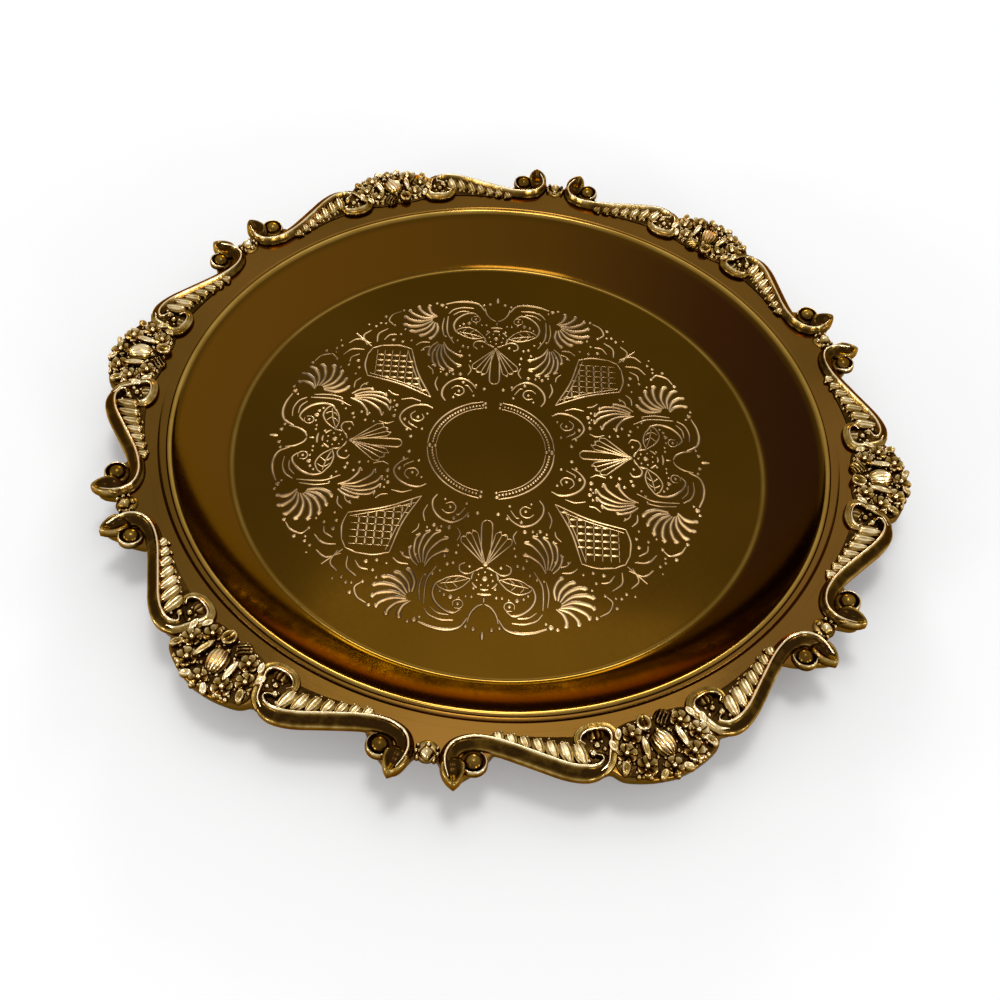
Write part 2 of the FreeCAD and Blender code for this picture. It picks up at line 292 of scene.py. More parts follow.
def from_junction(shares):
    """Plan positions of pairs of shares whose angle is counted back from the lobe's left end."""
    shares = np.asarray(shares, float)
    return polar(border_inner + shares[..., 1] * border_width, half_lobe * (1 - shares[..., 0]))


def from_axis(shares):
    """Plan positions of pairs of shares whose angle is counted from the lobe's axis."""
    shares = np.asarray(shares, float)
    return polar(border_inner + shares[..., 1] * border_width, half_lobe * shares[..., 0])


def closed_shell(rings, relief):
    """A closed surface through rings of points, an array of rings by points by three: quads join
    neighbouring rings, a fan closes each end ring at its mean point, and the whole is turned so
    that the sum of its signed cone volumes is positive. Relief is a number, or one for each point."""
    count, around = rings.shape[:2]
    relief = np.broadcast_to(relief, (count, around))
    middles = rings[[0, -1]].mean(axis=1)
    vertices = np.vstack([rings.reshape(-1, 3), middles])
    heights = np.concatenate([relief.ravel(), relief[[0, -1]].mean(axis=1)])
    first = np.arange(count - 1)[:, None] * around
    here = np.arange(around)
    after = (here + 1) % around
    quads = np.stack([first + here, first + after, first + around + after, first + around + here], axis=2)
    quads = quads.reshape(-1, 4)
    start, end = count * around, count * around + 1
    last = (count - 1) * around
    fans = np.vstack([
        np.stack([np.full(around, start), after, here], axis=1),
        np.stack([np.full(around, end), last + here, last + after], axis=1),
    ])
    corners = np.vstack([quads[:, :3], quads[:, [0, 2, 3]], fans])
    a, b, c = vertices[corners[:, 0]], vertices[corners[:, 1]], vertices[corners[:, 2]]
    if np.einsum("ij,ij->i", a - middles[0], np.cross(b - middles[0], c - middles[0])).sum() < 0:
        quads, fans = quads[:, ::-1], fans[:, ::-1]
    return vertices, quads, fans, heights


def turned(shells, degrees):
    """Copies of shells turned about the plate's axis."""
    turn = math.radians(degrees)
    spin = np.array([[math.cos(turn), math.sin(turn), 0], [-math.sin(turn), math.cos(turn), 0], [0, 0, 1]])
    return [(vertices @ spin, quads, fans, heights) for vertices, quads, fans, heights in shells]


def mirrored(shells, sides=(1, -1, 1)):
    """Copies of shells on the other side, with their faces turned back: by default over the first
    lobe's axis."""
    return [(vertices * sides, quads[:, ::-1], fans[:, ::-1], heights)
            for vertices, quads, fans, heights in shells]


def make_piece(name, shells, finish, node=None):
    """One object from shells, in metres. Each vertex keeps its share of relief, for the finish: a tone share,
    partly wear and patina and partly painted highlight and shade.
    """
    starts = np.cumsum([0] + [len(shell[0]) for shell in shells])
    vertices = np.vstack([shell[0] for shell in shells]) * mm
    quads = np.vstack([shell[1] + start for shell, start in zip(shells, starts)])
    fans = np.vstack([shell[2] + start for shell, start in zip(shells, starts)])
    heights = np.concatenate([shell[3] for shell in shells])
    sizes = np.concatenate([np.full(len(quads), 4), np.full(len(fans), 3)])
    mesh = bpy.data.meshes.new(name)
    mesh.vertices.add(len(vertices))
    mesh.vertices.foreach_set("co", vertices.ravel())
    mesh.loops.add(int(sizes.sum()))
    mesh.loops.foreach_set("vertex_index", np.concatenate([quads.ravel(), fans.ravel()]))
    mesh.polygons.add(len(sizes))
    mesh.polygons.foreach_set("loop_start", np.concatenate([[0], np.cumsum(sizes)[:-1]]))
    mesh.polygons.foreach_set("loop_total", sizes)
    mesh.polygons.foreach_set("use_smooth", np.ones(len(sizes), bool))
    mesh.update(calc_edges=True)
    mesh.set_sharp_from_angle(angle=math.radians(crease_degrees))
    relief = mesh.attributes.new("relief", "FLOAT", "POINT")
    relief.data.foreach_set("value", heights.astype(np.float32))
    mesh.materials.append(finish)
    piece = bpy.data.objects.new(name, mesh)
    bpy.context.scene.collection.objects.link(piece)
    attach(piece, "root")
    if node:
        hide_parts(node)


def bar(path, width, height, profile, base):
    """A bar along a flat path: each profile pair is scaled by half the width and by the height at
    its station, laid to the path's left and raised from the base. A third number is the tone
    share, partly wear and partly painted highlight and shade."""
    offset = width[:, None] / 2 * profile[:, 0]
    plan = path[:, None, :] + offset[:, :, None] * leftward(path)[:, None, :]
    rise = base + height[:, None] * profile[:, 1]
    rings = np.concatenate([plan, rise[:, :, None]], axis=2)
    wear_and_painted_light = profile[:, 2] if profile.shape[1] > 2 else np.clip(profile[:, 1], 0, 1)
    return closed_shell(rings, wear_and_painted_light)


def taper(count, start, end, power=0.5):
    """Shares of a full size along a form: a power of the sine, from start to pi less end."""
    return np.sin(np.linspace(start, math.pi - end, count)) ** power


def leaf_form(place, length, width, height, degrees, hollow=0.0, point=0.0, flutes=0, flute_depth=0.0,
              rib=0.0, twill=0, shade=0.0, round_off=0.6, along=26, across=21):
    """A leaf, petal or shell lying on the border. With u along it and v across its local width,
    both from -1 to 1, the swell is (1-u*u)(1-v*v). The height is a power of the swell, less a
    hollow in the middle, plus a bell curve over v for the middle rib, times a cosine wave across
    (flutes) or aslant (twill). Half the width is a power of 1+u times a power of 1-u, each the
    root where the point is 0. A point above 0 draws the far end to a tip and lowers the near end,
    so that it grows out of what it stands on, and one below 0 draws the near end to a tip. The
    shade darkens the tone share in the middle against the rim, as painted shade, and one below 0
    lights the middle, as a painted highlight."""
    end_gap, rib_spread, blunt, sharp = 0.04, 0.16, 0.14, 0.42
    under = [0.7, 0.0, -0.7]
    u = -np.cos(np.linspace(end_gap, math.pi - end_gap, along))[:, None]
    v = -np.cos(np.linspace(0, math.pi, across))[None, :]
    swell = (1 - u * u) * (1 - v * v)
    form = swell ** (round_off / 2) * (1 - hollow * swell ** 1.3)
    form = form / form.max() + rib * np.exp(-(v / rib_spread) ** 2) * (1 - u * u)
    phase = flutes * (v + 1) + twill * (0.8 * u + 0.6 * v)
    wave = 1 - flute_depth * (0.5 - 0.5 * np.cos(math.pi * phase))
    form = form * wave
    near, far = (blunt, sharp) if point > 0 else (sharp, blunt)
    if point > 0:
        form = form * np.clip((u + 1.2) / 0.9, 0, 1)
    half = (1 + u) ** (0.5 - near * point) * (1 - u) ** (0.5 + far * point)
    half = width / 2 * half / half.max()
    around = np.hstack([v, [under]])
    x = length / 2 * u + 0 * around
    y = half * around
    z = np.hstack([height * form, np.full((along, len(under)), -leaf_sink)])
    turn = math.radians(degrees)
    plan_x = place[0] + x * math.cos(turn) - y * math.sin(turn)
    plan_y = place[1] + x * math.sin(turn) + y * math.cos(turn)
    # Tone share: pale on the crowns, partly wear and partly painted highlight, less the painted shade in the
    # middle
    wear_and_painted_light = np.clip(form * wave, 0, 1.2) - shade * swell
    relief = np.hstack([wear_and_painted_light, np.zeros((along, len(under)))])
    return closed_shell(np.stack([plan_x, plan_y, plate_top + z], axis=2), relief)


def bead(place, radius, height=None, base=plate_top, around=20, steps=8, square=2.0, wear_and_painted_light=1.0):
    """A cast bead: rings at even steps of nearly a quarter turn, their radius the cosine and their
    height the sine, over a foot that is a little narrower and sunk. A square above 2 draws the
    plan from a circle towards a rounded square."""
    foot_share, crown_share = 0.9, 0.96
    height = radius if height is None else height
    lift = np.linspace(0, math.pi / 2 * crown_share, steps)
    ring_radii = np.concatenate([[radius * foot_share, radius], radius * np.cos(lift[1:])])
    ring_rises = np.concatenate([[-bead_sink, 0.0], height * np.sin(lift[1:])])
    turn = np.linspace(0, 2 * math.pi, around, endpoint=False)
    reach = (np.abs(np.cos(turn)) ** square + np.abs(np.sin(turn)) ** square) ** (-1 / square)
    x = place[0] + ring_radii[:, None] * reach * np.cos(turn)
    y = place[1] + ring_radii[:, None] * reach * np.sin(turn)
    z = base + ring_rises[:, None] + 0 * turn
    # Tone share, palest at the crown: partly wear, partly a painted highlight
    relief = wear_and_painted_light * np.clip(ring_rises / height, 0, 1)[:, None]
    return closed_shell(np.stack([x, y, z], axis=2), relief)


def flower(place, radius, petals, height, twist=0.0):
    """A cast flower on a polar grid. Its edge swells with the root of the petals' cosine. A petal's
    height grows with the square of the distance from the middle up to its lip and falls beyond it,
    with a notch between petals, and a ball stands in the middle."""
    ball_share, lip_share, inmost_share = 0.30, 0.16, 0.02
    steps, around = 18, 10 * petals
    share = np.linspace(inmost_share, 1, steps)[::-1][:, None]
    turn = np.linspace(0, 2 * math.pi, around, endpoint=False)[None, :]
    petal_wave = np.abs(np.cos(petals * turn / 2))
    edge = 0.80 + 0.20 * petal_wave ** 0.5
    lip = np.sqrt(np.clip((1 - share) / lip_share, 0, 1))
    cup = (0.30 + 0.62 * share ** 2) * lip * (0.48 + 0.52 * petal_wave ** 0.45)
    ball = np.sqrt(np.clip(1 - (share / ball_share) ** 2, 0, 1))
    rise = np.maximum(cup, 0.95 * ball)
    angle = turn + twist * share
    x = place[0] + radius * edge ** share * share * np.cos(angle)
    y = place[1] + radius * edge ** share * share * np.sin(angle)
    z = plate_top + height * rise
    foot = np.stack([x[0], y[0], np.full(around, plate_top - bead_sink)], axis=1)[None]
    rings = np.concatenate([foot, np.stack([x, y, z], axis=2)])
    # Tone share, pale on the petals' lips and the ball: partly wear, partly a painted highlight
    return closed_shell(rings, np.vstack([np.zeros((1, around)), np.clip(1.5 * rise - 0.1, 0, 1.2)]))


def pad(inner, outer):
    """A thin pad on the border between two edges, each an array of plan points with as many
    columns: every column is a closed loop with its two upper corners cut back by the rounding."""
    side = outer - inner
    side = side / np.linalg.norm(side, axis=1)[:, None] * pad_round
    plan = np.stack([inner, inner, inner + 0.3 * side, inner + side, outer - side,
                     outer - 0.3 * side, outer, outer], axis=1)
    foot, top = plate_top - pad_sink, plate_top + pad_height
    rises = np.array([foot, top - pad_round, top - 0.3 * pad_round, top, top,
                      top - 0.3 * pad_round, top - pad_round, foot])
    rise = np.broadcast_to(rises, plan.shape[:2])
    return closed_shell(np.concatenate([plan, rise[:, :, None]], axis=2), 0.12)


def dish_shell():
    """The dish, spun: the profile runs from the axis over floor, foot fillet, wall, bead, groove,
    flange and seat to the rim, and back under it one sheet lower. The fillet is an arc, the wall
    sags by a parabola, the bead is a power of a half sine and the groove a half sine."""
    floor_top, seat_top = sheet, plate_foot
    wall_head = bead_top - bead_height
    rise = wall_head - floor_top
    slope = math.atan2(rise, wall_run)
    reach = foot_fillet * math.tan(slope / 2)
    t = np.linspace(0, 1, 9)
    fillet = np.stack([well_radius - reach + foot_fillet * np.sin(slope * t),
                       floor_top + foot_fillet * (1 - np.cos(slope * t))], axis=1)
    t = np.linspace(0.06, 1, 22)
    sag = wall_sag * 4 * t * (1 - t)
    wall = np.stack([well_radius + wall_run * t + sag * math.sin(slope),
                     floor_top + rise * t - sag * math.cos(slope)], axis=1)
    t = np.linspace(0, 1, 15)[1:]
    crest = np.stack([wall_radius + bead_width * t,
                      wall_head + bead_height * np.sin(math.pi * t) ** 0.8], axis=1)
    t = np.linspace(0, 1, 13)[1:]
    dip = (flange_top - wall_head) * t - groove_depth * np.sin(math.pi * t)
    groove = np.stack([bead_radius + groove_width * t, wall_head + dip], axis=1)
    across = np.linspace(pole_radius, well_radius - floor_margin, 40)
    floor = np.stack([across, np.full_like(across, floor_top)], axis=1)
    rim = np.array([
        (seat_radius - step_break[0], flange_top), (seat_radius, flange_top - step_break[1]),
        (seat_radius, seat_top), (flange_radius - rim_round, seat_top), (flange_radius, seat_top - rim_round),
        (flange_radius, seat_top - sheet + rim_round), (flange_radius - rim_round, seat_top - sheet),
        (seat_radius - sheet, seat_top - sheet), (seat_radius - sheet, flange_top - sheet),
    ])
    under = np.vstack([wall, crest, groove])[::-3] - [0, sheet]
    under[:, 0] += 0.25 * sheet
    under = under[(under[:, 1] > underside_lift) & (under[:, 0] < seat_radius - sheet - pole_radius)]
    foot = np.array([(well_radius + out, up) for out, up in foot_chamfer]
                    + [(well_radius * 0.5, 0.0), (pole_radius, 0.0)])
    profile = np.vstack([floor, fillet, wall, crest, groove, rim, under, foot])
    turn = np.linspace(0, 2 * math.pi, dish_turns, endpoint=False)
    x = profile[:, :1] * np.cos(turn)
    y = profile[:, :1] * np.sin(turn)
    z = profile[:, 1:] + 0 * turn
    return closed_shell(np.stack([x, y, z], axis=2), 0.6)


def border_section_shell():
    """One lobe's plate: for each angle a closed loop from the flange's step to the outer edge,
    whose radius follows the edge's smooth line, with its upper outer corner rounded by an arc."""
    one_side = smooth_path(plate_edge_shares, 400)
    angle = half_lobe * (1 - one_side[:, 0])
    radius = border_inner + one_side[:, 1] * border_width
    degrees = np.linspace(-half_lobe, half_lobe, section_columns)
    outer = np.interp(np.abs(degrees), angle[::-1], radius[::-1])
    t = np.linspace(0, math.pi / 2, 6)
    back = edge_round * (1 - np.sin(t))
    drop = edge_round * (1 - np.cos(t))
    inner = np.full_like(outer, seat_radius)
    between = [inner + (outer - inner) * share for share in (0.25, 0.5, 0.75)]
    rounded = [outer - gap for gap in back]
    below = [outer, outer - edge_bevel, inner + foot_bevel]
    radii = np.stack([inner, inner, *between, *rounded, *below], axis=1)
    rises = np.concatenate([[plate_foot + toe_lift, plate_top], [plate_top] * 3, plate_top - drop,
                            [plate_foot + foot_bevel, plate_foot, plate_foot]])
    turn = np.radians(degrees)[:, None]
    rise = np.broadcast_to(rises, radii.shape)
    return closed_shell(np.stack([radii * np.cos(turn), radii * np.sin(turn), rise], axis=2), 0.35)


def scroll_shells():
    """A scroll: the ridged bar along its line, a cupped horn over its tip, the ball in the volute
    on its collar, a thin ring curled round it, a knob in the curl, and the hood's band."""
    tip_share, curl_share = 0.12, 0.26
    path = smooth_path(from_junction(scroll_line_shares), scroll_stations)
    share = np.linspace(0, 1, scroll_stations)
    tip = np.clip(1 - share / tip_share, 0, 1)
    curl = np.clip((share - (1 - curl_share)) / curl_share, 0, 1)
    width = scroll_width - tip * (scroll_width - scroll_tip_width)
    width = width - curl * (scroll_width - scroll_curl_width)
    height = scroll_height * (1 - 0.25 * curl - 0.12 * tip)
    profile = smooth_path(scroll_profile_shares, 44)
    profile[:, 0] = np.clip(profile[:, 0], -1, 1)
    horn = from_junction(horn_place_shares)
    horn_degrees = half_lobe * (1 - horn_place_shares[0]) - horn_lean
    eye = from_junction(eye_place_shares)
    outward = math.degrees(math.atan2(eye[1], eye[0]))
    sweep = np.linspace(outward + volute_ring_sweep[0], outward + volute_ring_sweep[1], 60)
    ring_path = eye + polar(volute_ring_radius, sweep)
    ring_taper = taper(60, 0.25, 0.25)
    hood = smooth_path(from_junction(hood_line_shares), 90)
    hood_taper = taper(90, 0.5, 0.35)
    hood_rise = hood_height * (0.75 + 0.25 * np.linspace(0, 1, 90)) * hood_taper
    hood_profile = smooth_path(hood_profile_shares, 26) * [-1, 1]
    return [
        bar(path, width, height, profile, plate_top),
        leaf_form(horn, horn_length, horn_width, horn_height, horn_degrees, hollow=0.72, point=0.5,
                  rib=0.1, shade=1.2, along=40, across=33),
        bead(eye, eye_radius, base=plate_top + eye_lift, around=40, steps=14, wear_and_painted_light=0.5),
        bead(eye, volute_ring_radius + collar_width, height=collar_height, around=40, steps=6, wear_and_painted_light=0.3),
        bar(ring_path, volute_ring_thickness * ring_taper, volute_ring_height * ring_taper,
            smooth_path(volute_ring_profile_shares, 12), plate_top + volute_ring_lift),
        bead(path[-1], knob_radius, height=knob_height, around=24, steps=9),
        bar(hood, hood_width * hood_taper, hood_rise, hood_profile, plate_top),
    ]


def garland_shells():
    """A garland: seven leaning leaves between the border's inner edge and the scroll, each with a
    bead at its foot, a fluted bud at their end, beads beside it and the pad that carries them."""
    before_curl = smooth_path(scroll_line_shares, 200)[:150]
    above = before_curl[before_curl[:, 0] > 0.24]
    start, end = garland_span_shares
    shells = []
    for leaf in range(garland_leaves):
        share = leaf / (garland_leaves - 1)
        angle_share = start + share * (end - start)
        foot_share = leaf_foot_share + share ** 1.2 * leaf_foot_gain_share
        head_share = np.interp(angle_share, above[:, 0], above[:, 1]) - leaf_head_gap_share
        foot, head = from_junction([(angle_share + leaf_lean_shares[0], foot_share),
                                    (angle_share + leaf_lean_shares[1], head_share)])
        length = float(np.linalg.norm(head - foot)) + leaf_overrun
        degrees = math.degrees(math.atan2(*(foot - head)[::-1]))
        width = leaf_width + leaf_width_gain * share
        height = leaf_height + leaf_height_gain * share
        shells.append(leaf_form((foot + head) / 2, length, width, height, degrees, hollow=0.3, point=-0.5,
                                flutes=3, flute_depth=0.24, rib=0.3, shade=-0.12, across=37))
        tip = foot + 0.10 * (head - foot) + polar(tip_bead_gap, degrees + 90)
        radius = tip_bead_radius + tip_bead_gain * share
        shells.append(bead(tip, radius, height=tip_bead_height, around=14, steps=5))
    bud_degrees = half_lobe * (1 - bud_place_shares[0])
    shells.append(leaf_form(from_junction(bud_place_shares), *bud_size, bud_degrees, hollow=0.1, flutes=3,
                            flute_depth=0.5))
    for place, radius in garland_beads:
        shells.append(bead(from_junction(place), radius, height=1.75 * radius, around=16, steps=6))
    pad_share = np.linspace(*pad_span_shares, 70)
    foot_line = np.interp(pad_share, *np.transpose(pad_foot_shares))
    head_line = np.where(pad_share > pad_level_from_share, pad_level_share,
                         np.interp(pad_share, above[:, 0], above[:, 1]))
    inner, outer = (from_junction(np.stack([pad_share, edge], axis=1)) for edge in (foot_line, head_line))
    shells.append(pad(inner, outer))
    return shells


def cluster_shells():
    """A flower cluster: a ribbed oval shell on the axis with a flower over it, three flowers and
    five petals on each side, a cupped petal and a twilled bud at its foot, rows of small beads,
    larger beads and the pad that carries them."""
    bead_pitch, row_pitch, row_reach = 0.038, 0.085, 0.20
    shells = [
        leaf_form(from_axis((0.000, 0.500)), *oval_shell_size, oval_shell_turn, flutes=6, flute_depth=0.22,
                  shade=-0.45, round_off=0.8, along=44, across=61),
        flower(from_axis((0.000, 0.840)), crown_radius, crown_petals, crown_height),
    ]
    for side in (1, -1):
        other = np.array([side, 1])
        for place, *sizes in cluster_flowers:
            shells.append(flower(from_axis(place * other), *sizes, twist=0.4 * side))
        for place, length, width, height, degrees, hollow, shade in cluster_petals:
            shells.append(leaf_form(from_axis(place * other), length, width, height, side * degrees,
                                    hollow=hollow, shade=shade))
    shells.append(leaf_form(from_axis((-0.046, 0.150)), *foot_petal_size, -foot_lean, hollow=0.7, rib=0.5,
                            shade=0.5))
    shells.append(leaf_form(from_axis((0.050, 0.145)), *foot_bud_size, foot_lean, twill=5, flute_depth=0.5,
                            along=34, across=29))
    row_steps = np.arange(-0.19, 0.191, bead_pitch)
    for row, radius_share in enumerate(np.arange(0.10, 0.94, row_pitch)):
        reach = row_reach * math.sqrt(max(0.05, 1 - abs(radius_share - 0.48) ** 2 * 3.4))
        for angle_share in row_steps + bead_pitch / 2 * (row % 2):
            if abs(angle_share) < reach:
                place = from_axis((angle_share, radius_share))
                shells.append(bead(place, small_bead_radius, height=small_bead_height, around=12, steps=4))
    for angle_share, radius_share, radius in cluster_beads:
        for side in (1, -1) if angle_share else (1,):
            place = from_axis((side * angle_share, radius_share))
            shells.append(bead(place, radius, height=1.8 * radius, around=16, steps=6))
    foot, head = (smooth_path(edge, 61) for edge in (cluster_foot_shares, cluster_head_shares))
    shells.append(pad(from_axis(foot), from_axis(head)))
    return shells


def rosette_shells():
    """A junction rosette: a square boss, a bead at its foot, a round pad and three beads each side."""
    shells = [
        bead(from_junction((0, 0.430)), boss_radius, height=boss_height, around=32, steps=9, square=4.0),
        bead(from_junction((0, 0.315)), toe_bead_radius, height=toe_bead_height, around=18, steps=7),
        bead(from_junction((0, 0.400)), boss_pad_radius, height=boss_pad_height, around=36, steps=5),
    ]
    for side in (1, -1):
        for place, radius in rosette_beads:
            spot = from_junction((side * place[0], place[1]))
            shells.append(bead(spot, radius, height=side_bead_height, around=16, steps=6))
    return shells


def stroke(points, width):
    """A chased stroke: a low bar along a smooth line, tapered to both ends by a power of a sine. A
    wider stroke stands a little higher."""
    points = np.asarray(points, float)
    span = np.linalg.norm(np.diff(points, axis=0), axis=1).sum()
    count = int(np.clip(span / station_gap, 5, 40))
    sizes = taper(count, 0.35, 0.35, 0.55)
    sunk = -chasing_sink / chasing_relief
    profile = np.array([(-1, sunk), (-0.62, 0.48), (-0.12, 1.0), (0.12, 1.0), (0.62, 0.48), (1, sunk)])
    height = chasing_relief * (0.55 + 0.55 * min(width, widest_stroke)) * sizes
    return bar(smooth_path(points, count), width * sizes, height, profile, sheet)


def dot(place, radius):
    """A chased dot on the floor."""
    height = chasing_relief * (0.7 + 0.5 * min(radius, 1.0))
    return bead(place, radius, height=height, base=sheet, around=10, steps=4)


def chased_arc(centre, radius, start, end, width):
    """A stroke on a circle from one angle to another."""
    return stroke(np.asarray(centre) + polar(radius, np.linspace(start, end, 7)), width)


# The chased ornament of one axis, in millimetres: a place is the distance to the axis's side, then
# the distance along it. Strokes are a width and the points of their line, and dots end in a radius.
side_strokes = [
    (1.0, [(4.2, 61.6), (3.5, 58.8), (1.9, 56.5), (0.3, 55.7)]),
    (1.3, [(4.2, 60.2), (6.2, 63.2), (9.6, 64.3), (13.6, 63.9), (17.4, 62.4)]),
    (0.9, [(8.0, 61.2), (11.4, 61.3), (14.6, 60.0), (16.2, 57.8)]),
    (0.8, [(9.4, 59.6), (12.4, 59.2), (14.6, 57.4)]),
    (1.2, [(6.3, 57.6), (8.2, 58.9), (10.8, 58.0), (13.2, 55.6), (14.2, 52.6), (13.4, 49.6), (11.4, 48.2)]),
    (0.9, [(16.3, 56.6), (16.4, 52.0), (15.9, 48.2), (13.7, 44.0)]),
    (0.8, [(17.6, 55.6), (17.9, 51.0), (17.1, 47.0)]),
    (0.8, [(4.0, 47.8), (6.4, 50.5), (9.6, 51.9), (12.4, 50.9), (13.4, 49.6)]),
    (0.8, [(4.0, 47.6), (7.0, 46.8), (10.4, 47.5), (13.0, 49.4)]),
    (0.7, [(4.8, 47.7), (8.2, 48.8), (12.2, 49.5)]),
    (0.6, [(7.4, 50.6), (8.4, 49.6), (8.8, 48.9)]),
    (0.6, [(10.0, 51.2), (10.8, 50.2), (11.0, 49.4)]),
    (0.6, [(6.9, 47.2), (7.8, 47.8), (8.4, 48.6)]),
    (0.6, [(9.4, 47.6), (10.2, 48.2), (10.8, 49.1)]),
    (0.9, [(2.6, 44.6), (4.8, 45.9), (6.9, 45.2), (7.2, 43.2), (5.8, 42.2)]),
    (0.9, [(1.1, 40.4), (1.5, 34.0), (1.55, 29.0), (1.1, 27.5), (0.1, 27.0)]),
    (1.1, [(5.6, 24.6), (7.4, 27.0), (10.4, 28.5), (13.6, 27.2), (15.8, 24.2), (16.2, 20.9), (15.0, 18.6)]),
    (0.8, [(13.4, 23.9), (11.9, 25.2), (9.9, 24.6), (9.4, 22.6), (10.8, 21.2), (12.4, 21.8)]),
    (0.8, [(6.6, 22.9), (8.2, 25.4), (9.2, 25.6)]),
    (1.0, [(32.0, 57.4), (34.6, 55.6), (35.6, 52.6), (34.0, 50.8)]),
    (0.9, [(21.6, 43.8), (24.2, 43.6), (26.0, 42.0)]),
    (0.8, [(20.6, 42.0), (22.8, 41.4), (24.2, 39.6)]),
    (0.8, [(8.4, 34.8), (7.6, 32.4), (8.6, 30.2)]),
    (0.8, [(17.6, 22.6), (18.6, 25.6), (18.0, 28.6)]),
    (0.8, [(19.6, 29.6), (19.9, 31.4), (21.4, 33.0)]),
]
side_dots = [
    (2.5, 63.7, 0.75), (4.6, 63.0, 0.6), (18.6, 61.8, 0.9), (7.1, 56.0, 0.6), (9.2, 53.9, 0.85),
    (11.0, 53.3, 0.6), (12.2, 52.2, 0.5), (4.4, 43.4, 0.55), (9.1, 42.5, 0.6), (10.7, 43.0, 0.7),
    (11.6, 40.4, 0.6), (11.3, 38.0, 0.5), (10.9, 30.4, 0.8), (13.2, 30.2, 0.55), (15.3, 29.9, 0.75),
    (5.3, 32.0, 0.45), (4.0, 30.8, 0.45), (5.7, 26.0, 0.6), (9.8, 27.0, 0.7), (11.0, 23.0, 0.6),
    (6.3, 21.4, 0.55), (3.0, 24.6, 0.7), (12.6, 20.2, 0.5), (14.4, 30.9, 0.4), (6.9, 53.9, 0.45),
    (5.0, 53.4, 0.45), (31.2, 58.0, 0.7), (36.8, 54.4, 0.7), (20.4, 62.4, 0.6), (38.2, 51.2, 0.6),
    (23.4, 40.2, 0.5), (19.8, 40.4, 0.55), (8.0, 36.4, 0.5), (17.2, 30.8, 0.5), (12.2, 56.9, 0.45),
    (3.0, 50.6, 0.5), (16.6, 47.0, 0.5), (14.6, 46.6, 0.6), (12.6, 45.4, 0.5), (8.4, 39.0, 0.6),
    (17.2, 60.8, 0.5), (3.4, 53.4, 0.5),
]
axis_strokes = [
    (1.5, [(0, 64.4), (0, 66.8)]),
    (1.1, [(-1.9, 52.4), (0, 52.6), (1.9, 52.4)]),
    (0.9, [(0, 55.0), (0, 53.6)]),
]
outer_leaf_foot = (19.4, 54.6)
outer_leaf_tips = [
    (22.6, 61.4), (26.2, 60.6), (29.2, 58.4), (30.6, 55.2), (30.6, 51.6), (28.4, 48.6), (25.2, 46.8),
    (21.9, 45.6),
]
outer_leaf_bow_share, outer_leaf_rib = -0.14, 1.75
inner_leaf_foot = (18.5, 45.6)
inner_leaf_tips = [(10.6, 38.6), (10.9, 34.2), (13.2, 31.9), (16.2, 32.0), (19.0, 33.4), (21.3, 37.8)]
inner_leaf_bow_share, inner_leaf_rib = 0.12, 1.25
curl_place, curl_radius, curl_width = (7.1, 56.0), 1.5, 0.7
fan_apex = (0, 42.8)
fan_spread = [(13, 11.4), (22, 11.6), (32, 11.3), (43, 10.6)]
fan_rib, fan_rim = 0.75, 0.7
fan_foot, fan_foot_dot = (0, 42.4), 0.9
flower_place, flower_dot = (0, 47.3), 0.95
flower_petals = 7
petal_radius, petal_spread, petal_width = 3.7, 17, 1.0
stamen_radius, stamen_turn, stamen_dot = 2.3, 26, 0.4

# The trellis field's corner, flank, turn and tip on one side of the diagonal, and its sprigs
trellis_pitch = 2.4
trellis_margin = 1.5
trellis_span = (20.0, 42.0)
trellis_corner = (19.6, 19.6)
trellis_flank_end = (27.2, 40.2)
trellis_turn = (36.6, 41.0)
trellis_tip = (39.6, 39.6)
trellis_bow = (0.9, -0.4)
trellis_inset = (1.2, 0.6)
trellis_shoulder = (4.5, 1.2)
trellis_stem, trellis_stem_width = [(40.2, 40.2), (43.0, 43.0), (45.6, 45.6)], 1.1
dash_half, dash_width = 0.95, 1.1
post_half, post_width = 1.0, 0.4
sprig_strokes = [
    (1.0, [(41.6, 40.6), (43.2, 44.8), (41.0, 47.6)]),
    (1.0, [(38.6, 42.4), (38.4, 46.2), (35.6, 48.8)]),
    (0.9, [(36.4, 43.6), (34.8, 46.0), (32.6, 46.4)]),
]
sprig_dots = [
    (33.4, 43.8, 0.75), (30.4, 43.2, 0.65), (33.6, 50.6, 0.6), (36.6, 51.2, 0.5), (31.2, 46.6, 0.6),
    (39.6, 49.6, 0.6), (42.0, 50.2, 0.45), (30.0, 49.0, 0.5), (27.6, 44.0, 0.5),
]

# The double ring round the plain middle: the radius and width of its two lines, the radius of the
# row of beads between them, and the place and radius of the two dots at its ends
ring_outer, ring_outer_width = 19.3, 0.9
ring_inner, ring_inner_width = 16.7, 0.6
ring_row, ring_row_step, ring_row_bead = 17.8, 3.4, 0.48
ring_end_dots = [(18.6, 0.7), (16.9, 0.55)]
ring_gaps = [(9, 88), (2, 81), (9, 88), (2, 81)]


def leaf_ribs(foot, tips, bow, width):
    """The ribs of a chased leaf: from its foot to each tip, bowed to one side by a share of their
    length, with a short hook at the tip."""
    foot = np.asarray(foot, float)
    shells = []
    for tip in np.asarray(tips, float):
        along = tip - foot
        aside = np.array([-along[1], along[0]]) * bow
        hook = tip + 0.10 * aside / abs(bow) - 0.02 * along
        line = [foot + 0.18 * along, foot + 0.5 * along + aside, foot + 0.85 * along + 0.8 * aside, tip, hook]
        shells.append(stroke(line, width))
    return shells


